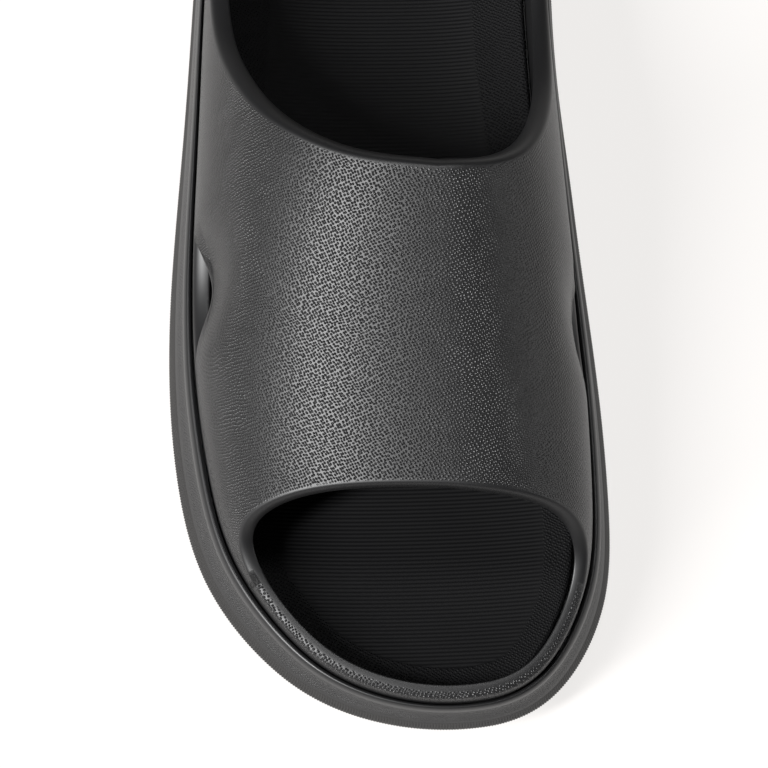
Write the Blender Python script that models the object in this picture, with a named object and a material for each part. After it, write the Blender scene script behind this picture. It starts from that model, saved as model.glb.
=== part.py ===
"""Sport slide sandal for the right foot, empty and at rest on its sole.

Metres, +Z up. The toe points to -Y, the heel to +Y and the big toe's side is +X.
"""

import math

import bmesh
import bpy
import numpy as np

# Driving sizes of the sole
LENGTH = 0.285
BALL_WIDTH = 0.111
TOE_SPRING = 0.013
HEEL_LIFT = 0.004
ARCH_LIFT = 0.0015
RIM_HEIGHT = 0.0265
EDGE_INSET = 0.0068
OUTSOLE_THICKNESS = 0.0068

# Driving sizes of the upper
INSTEP_HEIGHT = 0.087
WALL = 0.0044
SLOT_HEIGHT = 0.0115
SLOT_SILL = 0.0015
SLOT_SCOOP = (0.0042, 0.0020)

# Driving sizes of the footbed and the tread
FOOTBED_HEIGHT = 0.0195
FOOTBED_THICKNESS = 0.004
FOOTBED_CORNER = 0.0009
GROOVE_DEPTH = 0.002
GROOVE_WIDTH = 0.0032
GROOVE_MARGIN = 0.010
GAP = 0.0003

# How finely the surfaces are cut
TOE_STATIONS = 20
HEEL_STATIONS = 14
SIDE_COLUMNS = (3, 7, 11)
STRAP_ROWS = 11
RIM_STEPS = 4

# Outline of the sole: place along the length, then the middle of the section and its half width
# as shares of the ball width. The middle wanders towards the big toe at the front.
SOLE_PLAN = (
    (0.005, 0.117, 0.124),
    (0.020, 0.104, 0.230),
    (0.055, 0.082, 0.341),
    (0.130, 0.047, 0.454),
    (0.210, 0.018, 0.492),
    (0.300, -0.006, 0.498),
    (0.400, -0.025, 0.484),
    (0.530, -0.040, 0.453),
    (0.660, -0.051, 0.429),
    (0.780, -0.049, 0.412),
    (0.880, -0.041, 0.362),
    (0.950, -0.036, 0.266),
    (0.985, -0.033, 0.154),
)

# Side of the sole: place along, height of the rim as a share of the rim height, thickness of
# the outsole as a share of its own, and how far the rim lies inside the outline on either side.
SOLE_SIDE = (
    (0.00, 1.130, 0.80, 0.60, 0.60),
    (0.05, 1.080, 0.86, 0.86, 0.82),
    (0.12, 1.020, 0.95, 1.02, 0.96),
    (0.20, 0.990, 1.00, 1.10, 1.02),
    (0.30, 0.995, 1.00, 1.00, 1.00),
    (0.45, 1.070, 1.00, 0.82, 0.92),
    (0.60, 1.190, 1.00, 0.62, 0.80),
    (0.75, 1.290, 1.00, 0.60, 0.72),
    (0.90, 1.350, 1.00, 0.66, 0.68),
    (1.00, 1.380, 1.00, 0.68, 0.68),
)

# Footbed: place along, height of its middle and of its rim as shares of the footbed height.
FOOTBED_SECTIONS = (
    (0.00, 1.330, 1.350),
    (0.06, 1.200, 1.270),
    (0.15, 1.060, 1.180),
    (0.28, 1.000, 1.140),
    (0.42, 1.080, 1.280),
    (0.55, 1.270, 1.520),
    (0.70, 1.330, 1.660),
    (0.85, 1.310, 1.740),
    (1.00, 1.450, 1.780),
)

# Upper: place along, height of the ridge as a share of the instep height, shift of the ridge
# towards the big toe as a share of the ball width, and thickness as a share of the wall.
UPPER_SECTIONS = (
    (0.00, 0.640, 0.085, 0.74),
    (0.17, 0.690, 0.085, 0.76),
    (0.26, 0.775, 0.088, 0.88),
    (0.35, 0.885, 0.092, 0.96),
    (0.43, 0.985, 0.098, 1.00),
    (0.60, 1.080, 0.060, 1.00),
    (1.00, 1.120, 0.000, 1.00),
)

# Edges of the openings: place across, from 0 at the ridge to 1 at the crease, with the place
# along on the little toe's side and on the big toe's side.
TOE_EDGE = (
    (0.000, 0.178, 0.178),
    (0.250, 0.176, 0.177),
    (0.450, 0.170, 0.174),
    (0.620, 0.159, 0.166),
    (0.760, 0.144, 0.151),
    (0.860, 0.122, 0.127),
    (0.918, 0.088, 0.090),
    (0.940, 0.045, 0.045),
    (0.946, 0.000, 0.000),
)
COLLAR_EDGE = (
    (0.000, 0.428, 0.428),
    (0.200, 0.436, 0.434),
    (0.380, 0.458, 0.449),
    (0.540, 0.492, 0.476),
    (0.680, 0.535, 0.515),
    (0.780, 0.578, 0.560),
    (0.860, 0.640, 0.625),
    (0.905, 0.720, 0.715),
    (0.925, 0.850, 0.850),
    (0.930, 1.000, 1.000),
)

# Slots: place along of the front and back end on each side, little toe's side first.
SLOT_SPAN = ((0.300, 0.435), (0.280, 0.405))

# Profile of the sole's side: share of the inset, then share of the height from the outsole's
# top to the rim. It is a cove under a rolled bead.
SIDE_PROFILE = (
    (0.30, 0.00),
    (0.36, 0.06),
    (0.50, 0.20),
    (0.61, 0.38),
    (0.645, 0.56),
    (0.60, 0.68),
    (0.56, 0.80),
    (0.60, 0.92),
    (0.72, 1.00),
    (0.86, 0.99),
    (0.97, 0.93),
)

# Tread grooves: place along of the first and last groove of each field, and their number.
GROOVE_FIELDS = ((0.085, 0.255, 5), (0.44, 0.60, 4), (0.905, 0.945, 2))

FULLNESS = 2.5
SPINE_SPAN = (0.16, 0.70)
SPINE_SOFTNESS = 0.018
SLOT_ROW = 0.905
SLOT_DIP = 0.055
SLOT_RISE = 0.12
SCOOP_TOP = 0.50
TINY = 1e-4


class Spline:
    """Natural cubic spline through a table's points, held level past its ends."""

    def __init__(self, places, values):
        self.places = np.array(places, float)
        self.values = np.array(values, float)
        steps = np.diff(self.places)
        slopes = np.diff(self.values) / steps
        count = len(self.places)
        system = np.eye(count)
        right = np.zeros(count)
        for i in range(1, count - 1):
            system[i, i - 1] = steps[i - 1]
            system[i, i] = 2 * (steps[i - 1] + steps[i])
            system[i, i + 1] = steps[i]
            right[i] = 6 * (slopes[i] - slopes[i - 1])
        self.bends = np.linalg.solve(system, right)

    def __call__(self, place):
        place = np.clip(place, self.places[0], self.places[-1])
        i = np.clip(np.searchsorted(self.places, place) - 1, 0, len(self.places) - 2)
        width = self.places[i + 1] - self.places[i]
        a = (self.places[i + 1] - place) / width
        b = 1 - a
        bend = (a**3 - a) * self.bends[i] + (b**3 - b) * self.bends[i + 1]
        return a * self.values[i] + b * self.values[i + 1] + bend * width**2 / 6


def column(table, index):
    return Spline([row[0] for row in table], [row[index] for row in table])


def angle_of(along):
    """The place along the length as an angle: 0 at the toe, pi at the heel."""
    return np.arccos(np.clip(1 - 2 * np.asarray(along, float), -1, 1))


def along_of(angle):
    return (1 - np.cos(angle)) / 2


PLAN_MIDDLE = column(SOLE_PLAN, 1)
PLAN_ANGLES = [float(angle_of(row[0])) for row in SOLE_PLAN]
PLAN_RATIO = Spline(PLAN_ANGLES, [row[2] / math.sin(a) for row, a in zip(SOLE_PLAN, PLAN_ANGLES)])
RIM_LEVEL = column(SOLE_SIDE, 1)
OUTSOLE_SHARE = column(SOLE_SIDE, 2)
INSET_LATERAL = column(SOLE_SIDE, 3)
INSET_MEDIAL = column(SOLE_SIDE, 4)
BED_MIDDLE = column(FOOTBED_SECTIONS, 1)
BED_RIM = column(FOOTBED_SECTIONS, 2)
RIDGE_LEVEL = column(UPPER_SECTIONS, 1)
RIDGE_SHIFT = column(UPPER_SECTIONS, 2)
WALL_SHARE = column(UPPER_SECTIONS, 3)


def outline(angle):
    """Point of the sole's outline: angles above 0 run along the big toe's side."""
    along = along_of(angle)
    x = BALL_WIDTH * (PLAN_MIDDLE(along) + PLAN_RATIO(np.abs(angle)) * np.sin(angle))
    return np.stack([x, LENGTH * (along - 0.5)], -1)


def inside(angle, inset):
    """Point of the outline moved square to it into the sole."""
    ahead = outline(angle + TINY) - outline(angle - TINY)
    ahead /= np.linalg.norm(ahead, axis=-1, keepdims=True)
    inwards = np.stack([-ahead[..., 1], ahead[..., 0]], -1)
    return outline(angle) + inwards * np.asarray(inset)[..., None]


def underside(along):
    """Height of the sole's underside: flat at heel and forefoot, with toe spring and arch."""
    toe = TOE_SPRING * np.clip((0.27 - along) / 0.27, 0, 1) ** 2
    heel = HEEL_LIFT * np.clip((along - 0.90) / 0.10, 0, 1) ** 2
    arch = ARCH_LIFT * np.sin(np.pi * np.clip((along - 0.42) / 0.20, 0, 1)) ** 2
    return toe + heel + arch


def along_at(y):
    return np.clip(y / LENGTH + 0.5, 0, 1)


def rim_height(along):
    return RIM_HEIGHT * RIM_LEVEL(along)


def rim_inset(angle):
    """How far the crease between bead and upper lies inside the outline."""
    along = along_of(angle)
    side = (1 + np.sin(angle)) / 2
    return EDGE_INSET * (INSET_LATERAL(along) * (1 - side) + INSET_MEDIAL(along) * side)


def outsole_top(along):
    return underside(along) + OUTSOLE_THICKNESS * OUTSOLE_SHARE(along)


def spine(angle):
    """Point under the ridge that a station's section runs to, with its place along."""
    low, high = SPINE_SPAN
    along = along_of(angle)
    along = low + SPINE_SOFTNESS * np.logaddexp(0, (along - low) / SPINE_SOFTNESS)
    along = high - SPINE_SOFTNESS * np.logaddexp(0, (high - along) / SPINE_SOFTNESS)
    x = BALL_WIDTH * (PLAN_MIDDLE(along) + RIDGE_SHIFT(along))
    return np.stack([x, LENGTH * (along - 0.5)], -1), along


def bed_point(angle, inset, share):
    """Point of the footbed's top, with share 0 at its rim and 1 at the spine."""
    rim = inside(angle, inset)
    centre, _ = spine(angle)
    centre = centre - np.stack([0.8 * BALL_WIDTH * RIDGE_SHIFT(along_of(angle)), 0 * angle], -1)
    plan = rim + (centre - rim) * np.asarray(share)[..., None]
    along = along_at(plan[..., 1])
    middle = FOOTBED_HEIGHT * BED_MIDDLE(along)
    edge = FOOTBED_HEIGHT * BED_RIM(along_of(angle))
    cup = (1 - np.asarray(share)) ** 3
    return np.concatenate([plan, (middle + (edge - middle) * cup)[..., None]], -1)


def seat_height(angle):
    """Height of the ledge in the midsole that the upper's wall stands on."""
    return FOOTBED_HEIGHT * BED_RIM(along_of(angle)) - FOOTBED_THICKNESS - GAP


def dome(angle, rise):
    """Middle of the upper's wall, with rise 0 at the crease and 1 at the ridge."""
    angle = np.asarray(angle, float)
    turn = np.clip(rise, 0, 1) * math.pi / 2
    foot = inside(angle, rim_inset(angle) + GAP + wall_at(angle) / 2)
    top, along = spine(angle)
    lean = (1 - np.cos(turn))[..., None]
    plan = foot + (top - foot) * lean
    inwards = (top - foot) / np.linalg.norm(top - foot, axis=-1, keepdims=True)
    plan = plan + inwards * scoop(angle, rise)[..., None]
    low = rim_height(along_of(angle))
    high = INSTEP_HEIGHT * RIDGE_LEVEL(along)
    z = low + (high - low) * np.sin(turn) ** (2 / FULLNESS)
    return np.concatenate([plan, z[..., None]], -1)


def scoop(angle, rise):
    """How far the strap is pressed in above a slot, so that the slot opens upwards."""
    side = np.where(angle < 0, 0, 1)
    span = np.array(SLOT_SPAN)[side]
    share = (along_of(angle) - span[..., 0]) / (span[..., 1] - span[..., 0])
    around = np.sin(math.pi * np.clip(share, 0, 1)) ** 1.5
    fading = np.clip((SCOOP_TOP - rise) / (SCOOP_TOP - SLOT_RISE), 0, 1)
    starting = np.clip((rise - SLOT_RISE / 2) / (SLOT_RISE / 2), 0, 1)
    return np.array(SLOT_SCOOP)[side] * around * fading**2 * (3 - 2 * fading) * starting


def wall_at(angle):
    return WALL * WALL_SHARE(along_of(angle))


def dome_normal(angle, rise):
    """Outward direction of the upper's wall."""
    step = 0.004
    around = dome(angle + step, rise) - dome(angle - step, rise)
    low = np.maximum(rise - step, step)
    high = np.minimum(low + 2 * step, 1)
    up = dome(angle, high) - dome(angle, np.minimum(low, 1 - step))
    normal = np.cross(around, up)
    return normal / np.linalg.norm(normal, axis=-1, keepdims=True)


class Edge:
    """An opening's edge on one side of the shoe, as pairs of place across and place along."""

    def __init__(self, table, side):
        marks = np.arange(len(table))
        fine = np.linspace(0, len(table) - 1, 400)
        self.across = Spline(marks, [row[0] for row in table])(fine)
        self.along = Spline(marks, [row[side] for row in table])(fine)

    def along_at(self, across):
        return np.interp(across, self.across, self.along)

    def across_at(self, along):
        order = np.argsort(self.along)
        return np.interp(along, self.along[order], self.across[order])


def slot_edges(along, side):
    """Rise of the slot's lower and upper edge; they meet where there is no slot."""
    start, end = SLOT_SPAN[side]
    front, back = SIDE_PLACES[side][0], SIDE_PLACES[side][-1]
    middle = 1 - SLOT_ROW - SLOT_DIP * math.sin(math.pi * (along - front) / (back - front))
    share = np.clip((along - start) / (end - start), 0, 1)
    lens = np.sin(math.pi * share) ** 0.8
    _, place = spine(angle_of(along))
    tall = INSTEP_HEIGHT * RIDGE_LEVEL(place) - rim_height(along)
    sill = 2 / math.pi * np.arcsin((SLOT_SILL / tall) ** (FULLNESS / 2))
    head = 2 / math.pi * np.arcsin(((SLOT_SILL + SLOT_HEIGHT) / tall) ** (FULLNESS / 2))
    return middle + (sill - middle) * lens, middle + (head - middle) * lens


class Shell:
    """Collects the middle surface of a wall as a net of points, and gives it its thickness."""

    def __init__(self):
        self.points = []
        self.normals = []
        self.halves = []
        self.faces = []

    def add(self, point, normal, half):
        self.points.append(point)
        self.normals.append(normal)
        self.halves.append(half)
        return len(self.points) - 1

    def quad(self, a, b, c, d):
        corners = []
        for corner in (a, b, c, d):
            if corner not in corners:
                corners.append(corner)
        self.faces.append(corners)

    def loops(self):
        """The open edges of the net, as rings of points with the wall on their left."""
        used = {}
        for face in self.faces:
            for i, start in enumerate(face):
                used[(start, face[(i + 1) % len(face)])] = True
        follows = {a: b for a, b in used if (b, a) not in used}
        rings = []
        while follows:
            start = next(iter(follows))
            ring = [start]
            while follows[ring[-1]] != start:
                ring.append(follows.pop(ring[-1]))
            follows.pop(ring[-1])
            rings.append(ring)
        return rings

    def solid(self, flat_below):
        """Points and faces of the wall, with round lips, and a square foot below a height."""
        middle = np.array(self.points)
        normal = np.array(self.normals)
        half = np.array(self.halves)[:, None]
        count = len(middle)
        points = list(middle + normal * half) + list(middle - normal * half)
        faces = [list(face) for face in self.faces]
        faces += [[count + i for i in reversed(face)] for face in self.faces]
        for ring in self.loops():
            foot = max(middle[i][2] for i in ring) < flat_below
            rows = [list(ring)]
            for step in range(1, RIM_STEPS):
                if foot:
                    break
                turn = math.pi * step / RIM_STEPS
                row = []
                for place, i in enumerate(ring):
                    ahead = middle[ring[(place + 1) % len(ring)]] - middle[ring[place - 1]]
                    out = np.cross(ahead, normal[i])
                    out /= np.linalg.norm(out)
                    row.append(len(points))
                    points.append(middle[i] + half[i] * (math.cos(turn) * normal[i] + math.sin(turn) * out))
                rows.append(row)
            rows.append([count + i for i in ring])
            for upper_row, lower_row in zip(rows, rows[1:]):
                for i in range(len(ring)):
                    j = (i + 1) % len(ring)
                    faces.append([upper_row[j], upper_row[i], lower_row[i], lower_row[j]])
        return points, faces


TOE_EDGES = [Edge(TOE_EDGE, 1), Edge(TOE_EDGE, 2)]
COLLAR_EDGES = [Edge(COLLAR_EDGE, 1), Edge(COLLAR_EDGE, 2)]


def side_places(side):
    """Places along of the columns on one side, from the toe opening's corner to the collar's."""
    front = TOE_EDGES[side].along_at(SLOT_ROW)
    back = COLLAR_EDGES[side].along_at(SLOT_ROW)
    start, end = SLOT_SPAN[side]
    before, across, after = SIDE_COLUMNS
    first = np.linspace(front, start, before + 1)
    second = np.linspace(start, end, across + 1)[1:]
    third = np.linspace(end, back, after + 1)[1:]
    return np.concatenate([first, second, third])


SIDE_PLACES = [side_places(0), side_places(1)]


def stations():
    """Angles round the shoe that every piece shares, each with its kind and column."""
    toe = np.linspace(-angle_of(SIDE_PLACES[0][0]), angle_of(SIDE_PLACES[1][0]), TOE_STATIONS + 1)
    heel_start = angle_of(SIDE_PLACES[1][-1])
    heel_end = 2 * math.pi - angle_of(SIDE_PLACES[0][-1])
    heel = np.linspace(heel_start, heel_end, HEEL_STATIONS + 1)
    ring = [("toe", float(a), 0) for a in toe[1:-1]]
    ring += [("medial", float(angle_of(t)), m) for m, t in enumerate(SIDE_PLACES[1])]
    ring += [("heel", float(a if a <= math.pi else a - 2 * math.pi), 0) for a in heel[1:-1]]
    lateral = [("lateral", -float(angle_of(t)), m) for m, t in enumerate(SIDE_PLACES[0])]
    return ring + lateral[::-1]


def upper_shell():
    """The strap, the ring round the toe, the side walls and the heel's rim as one net."""
    shell = Shell()

    def put(angle, rise):
        angle = np.float64(angle)
        half = wall_at(angle) / 2
        return shell.add(dome(angle, np.float64(rise)), dome_normal(angle, np.float64(rise)), half)

    def put_foot(angle):
        angle = np.float64(angle)
        point = dome(angle, np.float64(0))
        point[2] = seat_height(angle) + GAP
        normal = dome_normal(angle, np.float64(0))
        normal[2] = 0
        normal /= np.linalg.norm(normal)
        return shell.add(point, normal, wall_at(angle) / 2)

    low_rows = []
    upper_line = [{}, {}]
    for kind, signed, m in stations():
        side = 0 if signed < 0 else 1
        along = along_of(signed)
        if kind == "toe":
            top = 1 - TOE_EDGES[side].across_at(along)
        elif kind == "heel":
            top = 1 - COLLAR_EDGES[side].across_at(along)
        else:
            top, head = slot_edges(along, side)
        rows = [put_foot(signed), put(signed, 0.0), put(signed, top / 2), put(signed, top)]
        low_rows.append(rows)
        if kind in ("medial", "lateral"):
            opened = head > top + TINY
            upper_line[side][m] = (put(signed, head) if opened else rows[-1], head)
    for i, rows in enumerate(low_rows):
        following = low_rows[(i + 1) % len(low_rows)]
        for j in range(len(rows) - 1):
            shell.quad(rows[j], following[j], following[j + 1], rows[j + 1])

    # The strap, from the little toe's slot line over the ridge to the big toe's
    columns = len(SIDE_PLACES[0])
    shares = [(places - places[0]) / (places[-1] - places[0]) for places in SIDE_PLACES]
    even = (shares[0] + shares[1]) / 2
    net = []
    for m in range(columns):
        line = [upper_line[0][m][0]]
        for row in range(1, 2 * STRAP_ROWS):
            across = row / STRAP_ROWS - 1
            side = 0 if across < 0 else 1
            # Rows lie closer together low on the sides
            away = abs(across)
            away = away * (1.22 - 0.22 * away)
            rise = 1 - away * (1 - upper_line[side][m][1])
            flat = 1 - away * SLOT_ROW
            front = TOE_EDGES[side].along_at(1 - flat)
            back = COLLAR_EDGES[side].along_at(1 - flat)
            front = front if away else TOE_EDGES[0].along[0]
            share = even[m] + (shares[side][m] - even[m]) * away**2
            along = front + (back - front) * share
            sign = -1 if side == 0 else 1
            line.append(put(sign * angle_of(along), rise))
        line.append(upper_line[1][m][0])
        net.append(line)
    for m in range(columns - 1):
        for row in range(2 * STRAP_ROWS):
            shell.quad(net[m][row], net[m][row + 1], net[m + 1][row + 1], net[m + 1][row])
    return shell


def make_material(name, colour, roughness):
    material = bpy.data.materials.new(name)
    material.use_nodes = True
    shader = material.node_tree.nodes["Principled BSDF"]
    shader.inputs["Base Color"].default_value = (*colour, 1)
    shader.inputs["Roughness"].default_value = roughness
    shader.inputs["Metallic"].default_value = 0
    return material


def halved(points, faces):
    """Cuts each four-cornered face along its shorter diagonal, alike on facing surfaces."""
    points = np.array(points)
    cut = []
    for face in faces:
        if len(face) != 4:
            cut.append(face)
            continue
        a, b, c, d = face
        if np.linalg.norm(points[a] - points[c]) <= np.linalg.norm(points[b] - points[d]):
            cut += [[a, b, c], [a, c, d]]
        else:
            cut += [[a, b, d], [b, c, d]]
    return cut


def make_object(name, points, faces, material):
    """An object from points and faces, with doubled points joined and its faces out."""
    mesh = bpy.data.meshes.new(name)
    mesh.from_pydata([tuple(map(float, p)) for p in points], [], halved(points, faces))
    work = bmesh.new()
    work.from_mesh(mesh)
    bmesh.ops.remove_doubles(work, verts=work.verts, dist=1e-6)
    bmesh.ops.recalc_face_normals(work, faces=work.faces)
    if work.calc_volume(signed=True) < 0:
        bmesh.ops.reverse_faces(work, faces=work.faces)
    work.to_mesh(mesh)
    work.free()
    mesh.shade_smooth()
    mesh.set_sharp_from_angle(angle=math.radians(40))
    if material:
        mesh.materials.append(material)
    obj = bpy.data.objects.new(name, mesh)
    bpy.context.scene.collection.objects.link(obj)
    return obj


def loft(rings):
    """Joins rings of points, and closes the first and the last from side to side."""
    points = [p for ring in rings for p in ring]
    size = len(rings[0])
    faces = []
    for r in range(len(rings) - 1):
        for i in range(size):
            j = (i + 1) % size
            faces.append([r * size + i, r * size + j, (r + 1) * size + j, (r + 1) * size + i])
    # The station in the middle of the toe, from which the others pair off
    front = (TOE_STATIONS - 1) // 2
    for start, turn in ((0, -1), ((len(rings) - 1) * size, 1)):
        for k in range(size // 2):
            corners = [front - k, front + k, front + k + 1, front - k - 1]
            corners = list(dict.fromkeys(start + corner % size for corner in corners))
            faces.append(corners[::turn])
    return points, faces


def ring_angles():
    return np.array([angle for _, angle, _ in stations()])


def level_ring(angles, inset, share, height):
    """A ring at an inset, moved by a share of the way to the spine, with its height from y."""
    rim = inside(angles, inset)
    centre, _ = spine(angles)
    plan = rim + (centre - rim) * share
    z = height(along_at(plan[:, 1]))
    return np.concatenate([plan, z[:, None]], -1)


def midsole():
    """The foam body: cove and bead on its side, the ledge for the upper, the bed's hollow."""
    angles = ring_angles()
    inset = rim_inset(angles)
    along = along_of(angles)
    bottom = outsole_top(along) + GAP
    rings = []
    for share in (0.8, 0.5, 0.2):
        rings.append(level_ring(angles, SIDE_PROFILE[0][0] * inset + 0.001, share, lambda a: outsole_top(a) + GAP))
    for wide, tall in SIDE_PROFILE:
        plan = inside(angles, wide * inset)
        z = bottom + (rim_height(along) - bottom) * tall
        rings.append(np.concatenate([plan, z[:, None]], -1))
    seat = seat_height(angles)
    channel = inset
    plan = inside(angles, channel)
    rings.append(np.concatenate([plan, seat[:, None]], -1))
    bed_inset = inset + wall_at(angles) + 3 * GAP
    for share in (0.0, 0.1, 0.3, 0.55, 0.8):
        bed = bed_point(angles, bed_inset, np.full_like(angles, share))
        bed[:, 2] -= FOOTBED_THICKNESS + GAP
        rings.append(bed)
    return loft(rings)


def footbed():
    """The insole: a cupped sheet that follows the hollow of the midsole."""
    angles = ring_angles()
    inset = rim_inset(angles) + wall_at(angles) + 3 * GAP
    rings = []
    for share in (0.8, 0.55, 0.35, 0.2, 0.08):
        rings.append(bed_point(angles, inset, np.full_like(angles, share)))
    # The top edge is a small chamfer against the upper's wall
    rings.append(bed_point(angles, inset + FOOTBED_CORNER, np.zeros_like(angles)))
    rim = bed_point(angles, inset, np.zeros_like(angles))
    rim[:, 2] -= FOOTBED_CORNER
    rings.append(rim)
    for share in (0.0, 0.1, 0.3, 0.55, 0.8):
        under = bed_point(angles, inset, np.full_like(angles, share))
        under[:, 2] -= FOOTBED_THICKNESS
        rings.append(under)
    return loft(rings)


def outsole():
    """The tread layer, with a rounded lower edge and a side that leans in to the cove."""
    angles = ring_angles()
    lean = SIDE_PROFILE[0][0] * rim_inset(angles)
    edge = 0.25 * OUTSOLE_THICKNESS
    rings = [level_ring(angles, 2.4 * edge, share, underside) for share in (0.7, 0.35, 0.0)]
    along = along_of(angles)
    low = underside(along)
    high = outsole_top(along)
    for inset, height in ((0.9 * edge, 0.06), (0.15 * edge, 0.28)):
        plan = inside(angles, np.full_like(angles, inset))
        z = low + (high - low) * height
        rings.append(np.concatenate([plan, z[:, None]], -1))
    plan = inside(angles, 0.12 * edge + 0.45 * lean)
    rings.append(np.concatenate([plan, (low + (high - low) * 0.72)[:, None]], -1))
    rings.append(np.concatenate([inside(angles, lean), high[:, None]], -1))
    rings += [level_ring(angles, lean + 0.001, share, outsole_top) for share in (0.2, 0.5, 0.8)]
    return loft(rings)


def groove_cutter(along, number):
    """A wavy bar across the tread that cuts one groove."""
    middle = BALL_WIDTH * float(PLAN_MIDDLE(along))
    reach = BALL_WIDTH * float(PLAN_RATIO(angle_of(along)) * math.sin(angle_of(along))) - GROOVE_MARGIN
    y = LENGTH * (along - 0.5)
    top = float(underside(along)) + GROOVE_DEPTH
    steps = 6
    points = []
    for z in (-GROOVE_DEPTH, top):
        for back in (-0.5, 0.5):
            for i in range(steps + 1):
                share = 2 * i / steps - 1
                wave = 0.35 * GROOVE_WIDTH * math.cos(math.pi * share * 1.5)
                points.append((middle + reach * share, y + wave + back * GROOVE_WIDTH, z))
    row = steps + 1
    faces = []
    for i in range(steps):
        for a, b in ((0, row), (3 * row, 2 * row)):
            faces.append([a + i, b + i, b + i + 1, a + i + 1])
        faces.append([i, i + 1, 2 * row + i + 1, 2 * row + i])
        faces.append([row + i + 1, row + i, 3 * row + i, 3 * row + i + 1])
    for i in (0, steps):
        faces.append([i, 2 * row + i, 3 * row + i, row + i])
    cutter = make_object(f"groove_cutter_{number}", points, faces, None)
    cutter.hide_render = True
    cutter.display_type = "WIRE"
    return cutter


def main():
    for obj in list(bpy.data.objects):
        bpy.data.objects.remove(obj, do_unlink=True)

    foam = make_material("moulded_foam", (0.012, 0.012, 0.013), 0.55)
    sole_foam = make_material("sole_foam", (0.014, 0.014, 0.015), 0.6)
    tread_rubber = make_material("tread_rubber", (0.018, 0.018, 0.018), 0.7)
    bed_foam = make_material("bed_foam", (0.010, 0.010, 0.011), 0.65)

    points, faces = upper_shell().solid(flat_below=RIM_HEIGHT * 1.3)
    make_object("upper", points, faces, foam)
    make_object("midsole", *midsole(), sole_foam)
    make_object("footbed", *footbed(), bed_foam)
    tread = make_object("outsole", *outsole(), tread_rubber)

    number = 0
    for first, last, count in GROOVE_FIELDS:
        for along in np.linspace(first, last, count):
            number += 1
            cut = tread.modifiers.new(f"groove_{number}", "BOOLEAN")
            cut.operation = "DIFFERENCE"
            cut.solver = "EXACT"
            cut.object = groove_cutter(float(along), number)


main()
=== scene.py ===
"""Sport slide sandal for the right foot, dressed for a studio picture from above the toe.

Metres, +Z up. The toe points to -Y, the heel to +Y and the big toe's side is +X.
"""

import math

import bmesh
import bpy
import numpy as np
from mathutils import Matrix, Vector
from mathutils.bvhtree import BVHTree
from mathutils.kdtree import KDTree


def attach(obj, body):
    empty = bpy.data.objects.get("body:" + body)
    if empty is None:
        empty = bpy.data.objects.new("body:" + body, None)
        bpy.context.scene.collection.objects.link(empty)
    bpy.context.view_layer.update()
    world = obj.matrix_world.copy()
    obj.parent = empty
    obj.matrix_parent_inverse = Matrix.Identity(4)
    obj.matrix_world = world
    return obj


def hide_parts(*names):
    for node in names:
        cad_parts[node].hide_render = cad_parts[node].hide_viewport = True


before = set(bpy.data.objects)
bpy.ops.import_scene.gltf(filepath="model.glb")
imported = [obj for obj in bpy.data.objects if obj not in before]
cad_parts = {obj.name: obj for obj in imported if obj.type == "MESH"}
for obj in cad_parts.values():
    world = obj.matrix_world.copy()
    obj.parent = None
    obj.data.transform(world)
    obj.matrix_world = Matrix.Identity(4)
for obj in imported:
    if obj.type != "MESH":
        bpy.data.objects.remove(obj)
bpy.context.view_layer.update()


# Outsole. The tread layer is the skin of the foam block that meets the floor: black EVA foam, moulded
# with fine upright ribs all round its edge and wavy grooves across its underside. It turns up at
# the toe and a little at the heel.
LENGTH = 0.285
BALL_WIDTH = 0.111
TOE_SPRING = 0.013
HEEL_LIFT = 0.004
ARCH_LIFT = 0.0015
OUTSOLE_THICKNESS = 0.0068
EDGE_INSET = 0.0068
RIB_PITCH = 0.00072
RIB_DEPTH = 0.00022
GROOVE_DEPTH = 0.002
GROOVE_WIDTH = 0.0032
GROOVE_MARGIN = 0.010
GAP = 0.0003

# Place along the length, then the middle of the outline and its half width as shares of the ball width
SOLE_PLAN = (
    (0.005, 0.117, 0.124),
    (0.020, 0.104, 0.230),
    (0.055, 0.082, 0.341),
    (0.130, 0.047, 0.454),
    (0.210, 0.018, 0.492),
    (0.300, -0.006, 0.498),
    (0.400, -0.025, 0.484),
    (0.530, -0.040, 0.453),
    (0.660, -0.051, 0.429),
    (0.780, -0.049, 0.412),
    (0.880, -0.041, 0.362),
    (0.950, -0.036, 0.266),
    (0.985, -0.033, 0.154),
)

# Place along, height of the rim, thickness of the outsole, inset of the rim on the little toe's side
# and on the big toe's, each as a share of its own named size
SOLE_SIDE = (
    (0.00, 1.130, 0.80, 0.60, 0.60),
    (0.05, 1.080, 0.86, 0.86, 0.82),
    (0.12, 1.020, 0.95, 1.02, 0.96),
    (0.20, 0.990, 1.00, 1.10, 1.02),
    (0.30, 0.995, 1.00, 1.00, 1.00),
    (0.45, 1.070, 1.00, 0.82, 0.92),
    (0.60, 1.190, 1.00, 0.62, 0.80),
    (0.75, 1.290, 1.00, 0.60, 0.72),
    (0.90, 1.350, 1.00, 0.66, 0.68),
    (1.00, 1.380, 1.00, 0.68, 0.68),
)

# Profile of the tread's edge: inset as a share of its lower rounding and of its lean, share of its
# height, and how far the ribs stand out there
TREAD_EDGE = (
    (0.90, 0.00, 0.06, 0.0),
    (0.42, 0.00, 0.15, 0.3),
    (0.15, 0.00, 0.28, 1.0),
    (0.11, 0.22, 0.50, 1.0),
    (0.12, 0.45, 0.72, 1.0),
    (0.06, 0.74, 0.90, 0.8),
    (0.00, 1.00, 1.00, 0.2),
)
TREAD_ROUNDING = 0.25
TREAD_LEAN = 0.30

# Place along of the first and last groove of each field, and their number
GROOVE_FIELDS = ((0.085, 0.255, 5), (0.44, 0.60, 4), (0.905, 0.945, 2))


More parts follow.
